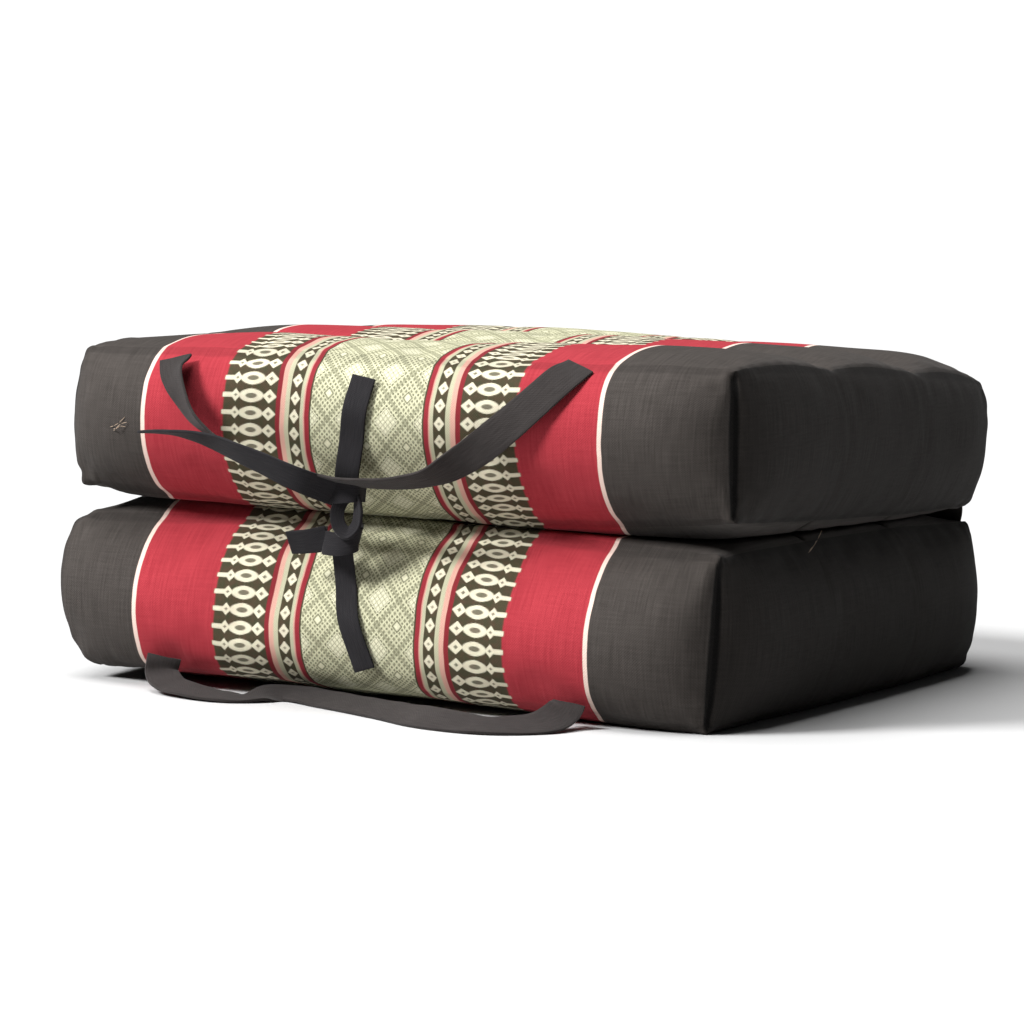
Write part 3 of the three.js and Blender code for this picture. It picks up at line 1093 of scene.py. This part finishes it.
upperHandleRows = (
    (-108, -179.5, 157, (0.85, 0.1, 0.2)),
    (-105, -188.5, 150, (0.72, -0.5, 0.3)),
    (-97, -196.5, 140.5, (0.6, -0.72, 0.33)),
    (-87, -201, 130, (0.3, -0.85, 0.4)),
    (-64, -202, 118, (0, -1, 0.12)),
    (-39, -200, 110.5, (0, -1, 0.25)),
    (-3, -200, 107, (-0.05, -1, 0.3)),
    (29, -201, 111.6, (-0.2, -0.85, 0.42)),
    (48, -199, 122.5, (-0.5, -0.4, 0.55)),
    (71, -198, 142, (-0.66, 0.1, 0.65)),
    (89, -188.5, 161, (-0.8, 0.2, 0.5)),
    (94.5, -178, 166.5, (-1, 0, 0.1)),
)
lowerHandleRows = (
    (-109.5, -177, 15.5, (0.85, 0.35, 0.05)),
    (-109.5, -179.5, 9.5, (0.5, 0.8, 0.3)),
    (-101, -190, 5, (0.25, 0.9, 0.24)),
    (-87, -197.5, 3.6, (0.15, 0.95, 0.2)),
    (-70, -200, 2.4, (0.1, 0.97, 0.1)),
    (-60, -193, 1.6, (0.2, 0.95, 0.02)),
    (-47, -176, 3.2, (0.3, 0.9, 0.3)),
    (-20, -188, 3.5, (0.42, 0.85, 0.32)),
    (16, -208.5, 3.9, (0.44, 0.8, 0.37)),
    (46, -228, 4.8, (0.3, 0.82, 0.48)),
    (74.5, -229, 3.8, (-0.15, 0.93, 0.32)),
    (94, -209.5, 4.4, (-0.8, 0.4, 0.42)),
    (98, -192.5, 8.2, (-0.87, 0, 0.48)),
    (98.5, -186, 11.5, (-1, 0, 0.1)),
)
upperTieRows = (
    onPanel(upperHalf, -8.5, 0.74),
    onPanel(upperHalf, -11, 0.38),
    onPanel(upperHalf, -13, 0.02),
    (-15, -189.3, 110, (1, 0, 0)),
    (-16, -186.5, 105.8, (1, 0, 0)),
)
lowerTieRows = (
    (-17.5, -185.5, 73.6, (1, 0, 0)),
    onPanel(lowerHalf, -16, 0.3),
    onPanel(lowerHalf, -11.5, -0.1),
    onPanel(lowerHalf, -3.5, -0.67),
)
longTailRows = (
    (-17.5, -194, 100.5, (0.45, 0, 0.9)),
    (-29, -210.5, 107, (0.35, -0.2, 0.9)),
    (-50.5, -215, 115.3, (0.3, -0.5, 0.8)),
    (-76, -214, 122.9, (0.15, -0.8, 0.6)),
    (-92, -213, 124.8, (0, -0.97, 0.25)),
    (-109.5, -209.5, 124.1, (0, -1, 0.06)),
)
shortTailRows = (
    (-22, -192.8, 79.5, (0.1, -0.1, 1)),
    (-31, -194, 77.5, (0.2, -0.3, 0.93)),
    (-41, -194, 76, (0.2, -0.45, 0.88)),
)
# The knot: a turn round the tie, a loop that stands up, and the turn below it
knotTurn = (
    (-23.5, -184, 101, (0, 0, 1)),
    (-24, -192.5, 100.5, (0, 0.1, 1)),
    (-16, -197, 101.5, (0, 0.1, 1)),
    (-8, -195.5, 102.5, (0, 0.1, 1)),
    (-6.5, -187, 102, (0, 0, 1)),
)
knotLoop = (
    (-10, -188, 101, (0, -0.6, 0.8)),
    (-14.5, -193.5, 98.5, (-0.6, -0.6, 0.6)),
    (-16.5, -196, 92, (-0.8, -0.6, 0)),
    (-14.5, -197, 85.5, (-0.6, -0.6, -0.6)),
    (-10.5, -197.3, 83, (0, -0.6, -0.8)),
    (-6.8, -197, 86.5, (0.7, -0.6, -0.4)),
    (-6, -196, 92.5, (0.8, -0.6, 0)),
    (-8, -193, 98.5, (0.6, -0.6, 0.6)),
    (-12, -188, 100.5, (0, -0.6, 0.8)),
)
knotFoot = (
    (-10, -184, 82, (0.3, 0, 1)),
    (-7.5, -192, 80, (0.3, 0, 1)),
    (-15, -196, 77.5, (0.1, 0.1, 1)),
    (-23, -193.5, 77.5, (0, 0.1, 1)),
    (-26, -186, 79, (0, 0, 1)),
)

handleWidth, tieWidth = tape["handleWidth"], tape["tieWidth"]
makeTape("upperLoop", "upper_handle", [(upperHandleRows, handleWidth, 110)],
         tapeMaterial)
makeTape("lowerLoop", "lower_handle", [(lowerHandleRows, handleWidth, 130)],
         tapeMaterial)
makeTape("upperTie", "upper_tie", [(upperTieRows, tieWidth, 40)],
         tieMaterial)
makeTape("lowerTie", "lower_tie", [(lowerTieRows, tape["lowerTieWidth"], 40)],
         tieMaterial)
makeTape("longTail", "upper_tie_tail", [(longTailRows, tieWidth, 60)],
         tieMaterial)
makeTape("shortTail", "lower_tie_tail", [(shortTailRows, tieWidth, 24)],
         tieMaterial)
makeTape("knot", "tie_knot", [(knotTurn, tieWidth - 2, 40), (knotLoop, tape["knotWidth"], 60),
                              (knotFoot, tieWidth - 1, 36)], tieMaterial)
print("tapes made")


# Hinge

hinge = {
    "reach": 0.97,
    "standOff": 2.4,
    "bow": 2,
    "thickness": 1.5,
    "steps": (90, 8),
    "seam": 0.98,                       # how far down and up the panels it is sewn
    "wave": (12, 3, 0.5),               # length, shift and height
}


def makeHinge():
    work = bmesh.new()
    stepsAcross, stepsUp = hinge["steps"]
    bmesh.ops.create_grid(work, x_segments=stepsAcross, y_segments=stepsUp, size=1)
    layer = work.loops.layers.uv.new("cloth")
    waveLength, waveShift, waveHeight = hinge["wave"]
    for vert in work.verts:
        across = vert.co.x * hinge["reach"]
        share = (vert.co.y + 1) / 2
        foot = panelPoint(lowerHalf, across, 1, hinge["seam"])
        head = panelPoint(upperHalf, across, 1, -hinge["seam"])
        foot.z -= filling["gap"]
        head.z += filling["gap"]
        point = foot.lerp(head, share)
        point.y += hinge["standOff"] + hinge["bow"] * math.sin(math.pi * share)
        point.y += noise.noise(Vector((point.x / waveLength, share, waveShift))) * waveHeight
        vert.co = point * millimetre
    for face in work.faces:
        for loop in face.loops:
            # The hinge lies past the side panels' start on the flat cloth, so it takes their
            # painted shade too.
            loop[layer].uv = (loop.vert.co.x + weaving["side"] * millimetre, loop.vert.co.z)
    item = newMesh(work, "foldHinge")
    thick = item.modifiers.new("thickness", "SOLIDIFY")
    thick.thickness = hinge["thickness"] * millimetre
    thick.offset = 0
    item.data.materials.append(coverMaterial)
    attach(item, "root")
    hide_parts("fold_hinge")


makeHinge()
print("hinge made")


# Floor and light

studio = {
    "floor": 40,
    "floorColour": (0.54, 0.54, 0.54, 1),
    "floorRoughness": 0.9,
    "floorCloud": 0.8,
    "floorTones": (0.99, 0.02),
    "floorBump": 0.02,
    "room": 0.03,
    "lights": (
        {"name": "window", "from": (-0.5, -0.62, 0.6), "spread": 16, "power": 5.4},
        {"name": "skylight", "from": (-0.2, -0.15, 1), "spread": 40, "power": 3.2},
    ),
}


def makeStudio():
    work = bmesh.new()
    bmesh.ops.create_grid(work, x_segments=1, y_segments=1, size=studio["floor"])
    floor = newMesh(work, "floor")
    loom = Loom("paleFloor")
    place = loom.lay("TexCoord", None, None, 3)
    cloud = loom.cloud(place, studio["floorCloud"])
    tone, uneven = studio["floorTones"]
    colour = loom.shade(studio["floorColour"], tone + (cloud - 0.5) * uneven)
    bump = loom.lay("Bump", None, {"Strength": studio["floorBump"], "Height": cloud})
    rough = studio["floorRoughness"]
    floor.data.materials.append(loom.finish(colour, rough, bump, {"Specular IOR Level": 0.1}))
    world = bpy.data.worlds.new("room")
    world.use_nodes = True
    sky = world.node_tree.nodes["Background"]
    sky.inputs["Color"].default_value = (1, 1, 1, 1)
    sky.inputs["Strength"].default_value = studio["room"]
    bpy.context.scene.world = world
    for light in studio["lights"]:
        data = bpy.data.lights.new(light["name"], "SUN")
        data.angle = math.radians(light["spread"])
        data.energy = light["power"]
        lamp = bpy.data.objects.new(light["name"], data)
        lamp.rotation_euler = Vector(light["from"]).to_track_quat("Z", "Y").to_euler()
        bpy.context.collection.objects.link(lamp)
    bpy.context.scene.view_settings.view_transform = "Standard"


makeStudio()
print("studio lit")
